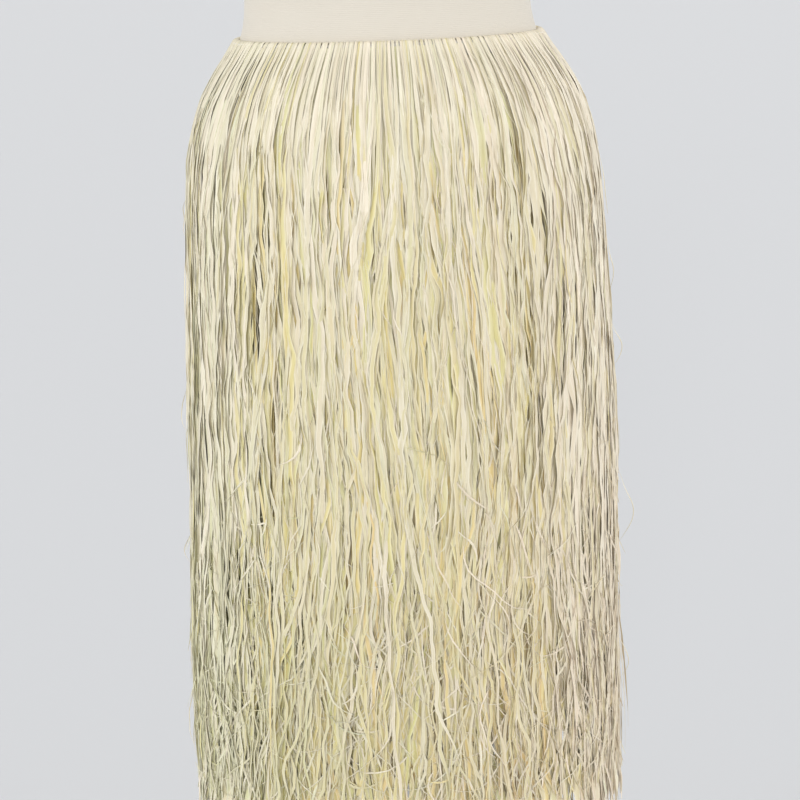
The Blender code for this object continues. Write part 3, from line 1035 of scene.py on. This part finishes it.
def closed_shell(name, rings, mat, angle=60):
    """A closed surface through rings of points; its first and last ring shrink to their middles."""
    count, points, _ = rings.shape
    ends = [rings[0].mean(axis=0), rings[-1].mean(axis=0)]
    verts = np.concatenate([rings.reshape(-1, 3), np.array(ends)])
    low = np.arange(count - 1)[:, None] * points + np.arange(points)[None, :]
    next_low = np.roll(low, -1, axis=1)
    walls = np.stack([low, next_low, next_low + points, low + points], axis=-1).reshape(-1, 4)
    around = np.arange(points)
    beside = np.roll(around, -1)
    foot = np.stack([np.full(points, count * points), beside, around], axis=1)
    top = (count - 1) * points
    head = np.stack([np.full(points, count * points + 1), top + around, top + beside], axis=1)
    mesh = bpy.data.meshes.new(name)
    mesh.from_pydata(verts, [], walls.tolist() + foot.tolist() + head.tolist())
    mesh.shade_smooth()
    mesh.set_sharp_from_angle(angle=math.radians(angle))
    mesh.materials.append(mat)
    print(f"{name}: {len(mesh.polygons)} faces")
    return put(name, mesh)


def jersey():
    """Cream knitted cotton: fine columns of stitches that go round the form, and a soft nap."""
    mat = plain("jersey", (0.80, 0.745, 0.645), 0.88)
    nodes, links = mat.node_tree.nodes, mat.node_tree.links
    shader = nodes["Principled BSDF"]
    shader.inputs["Sheen Weight"].default_value = 0.25
    shader.inputs["Sheen Roughness"].default_value = 0.6
    place = nodes.new("ShaderNodeTexCoord")
    stitches = nodes.new("ShaderNodeTexWave")
    stitches.bands_direction = "Z"
    stitches.inputs["Scale"].default_value = 190.0
    stitches.inputs["Distortion"].default_value = 1.5
    stitches.inputs["Detail Scale"].default_value = 2.0
    links.new(place.outputs["Object"], stitches.inputs["Vector"])
    mottle = noise_on(nodes, links, place.outputs["Object"], 14.0, 5.0)
    light, dark = (0.640, 0.603, 0.534, 1.0), (0.611, 0.570, 0.498, 1.0)
    shade = mix_colours(nodes, links, "MIX", mottle.outputs["Fac"], light, dark)
    links.new(shade, shader.inputs["Base Color"])
    raise_by(mat, stitches.outputs["Fac"], 0.25, 0.0004)
    return mat


def form_cover(levels=110, every=2):
    """Rings of the torso's solid at even heights, its closed ends rounded by the first rings."""
    low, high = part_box("form_torso")
    heights = np.linspace(low.z + 0.0004, high.z - 0.0004, levels)
    rings = np.array([wall_ring(trees["form_torso"], z, True) for z in heights])
    rings = smooth_down(rings[:, ::every])
    return closed_shell("form_cover", rings, jersey())


cover = form_cover()

# %% [markdown]
# ## Cap and stand
#
# The neck ends in a turned beech cap. Under the torso a brushed steel pole runs down into a low
# flange on a round plate, both with an off-white powder coat. All of them are turned parts: a
# profile of radius and height is carried round the middle line, with its corners as small arcs.

# %% Turned parts
def rounded_profile(corners, steps=5):
    """A profile through corners of radius, height and rounding, each rounded by an arc.

    Between the two points where the rounding starts and ends, a quadratic curve bends round the
    corner: (1-t)^2 first + 2t(1-t) corner + t^2 last.
    """
    corners = np.array(corners, dtype=float)
    points = []
    for i, (radius, height, rounding) in enumerate(corners):
        here = np.array((radius, height))
        if rounding == 0:
            points.append(here[None, :])
            continue
        before, after = corners[i - 1, :2] - here, corners[i + 1, :2] - here
        first = here + before / np.linalg.norm(before) * rounding
        last = here + after / np.linalg.norm(after) * rounding
        t = np.linspace(0, 1, steps)[:, None]
        points.append((1 - t) ** 2 * first + 2 * t * (1 - t) * here + t ** 2 * last)
    return np.concatenate(points)


def turned(name, corners, mat, middle, columns=96):
    """A profile carried round an upright line through the middle, bottom to top."""
    profile = rounded_profile(corners)
    turn = 2 * np.pi * np.arange(columns) / columns
    x = middle[0] + profile[:, :1] * np.cos(turn)
    y = middle[1] + profile[:, :1] * np.sin(turn)
    z = np.broadcast_to(profile[:, 1:], x.shape)
    return closed_shell(name, np.stack([x, y, z], axis=-1), mat, 40)


# %% Cap, pole and plate
beech = grained("beech", (0.66, 0.47, 0.29), (0.50, 0.33, 0.18), 0.42,
                (14.0, 160.0, 160.0), bump=0.15)
paint = grained("powder coat", (0.80, 0.79, 0.75), (0.76, 0.75, 0.71), 0.42,
                (900.0, 900.0, 900.0), bump=0.35)
steel = grained("brushed steel", (0.62, 0.62, 0.61), (0.50, 0.50, 0.50), 0.30,
                (700.0, 700.0, 12.0), metallic=1.0, bump=0.2)


def round_piece(node, name, mat, rounding):
    """Replaces an upright round node with a finely turned one of the same size."""
    low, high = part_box(node)
    radius = (high.x - low.x) / 2
    flat = radius - 2.5 * rounding
    corners = [(flat, low.z, 0.0), (radius, low.z, rounding)]
    corners += [(radius, high.z, rounding), (flat, high.z, 0.0)]
    made = turned(name, corners, mat, ((low.x + high.x) / 2, (low.y + high.y) / 2))
    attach(made, "root")
    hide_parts(node)
    return made


cap = round_piece("neck_cap", "turned_neck_cap", beech, 0.004)
plate = round_piece("base_plate", "turned_base_plate", paint, 0.0025)
flange = round_piece("base_flange", "turned_flange", paint, 0.003)
collar = round_piece("pole_collar", "turned_collar", paint, 0.003)
rod = round_piece("pole", "turned_pole", steel, 0.001)

# %% Ride and finish
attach(cover, "root")
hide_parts("form_torso")
outer_pieces = [outer_strands, outer_between, outer_under, loose, frayed, crossing, strays]
inner_pieces = [inner_strands, inner_back]
skirt_pieces = outer_pieces + inner_pieces
for piece in skirt_pieces:
    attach(piece, "root")
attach(elastic, "root")
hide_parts("strand_heads", "outer_fall")
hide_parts("inner_fall")
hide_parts("waist_elastic")
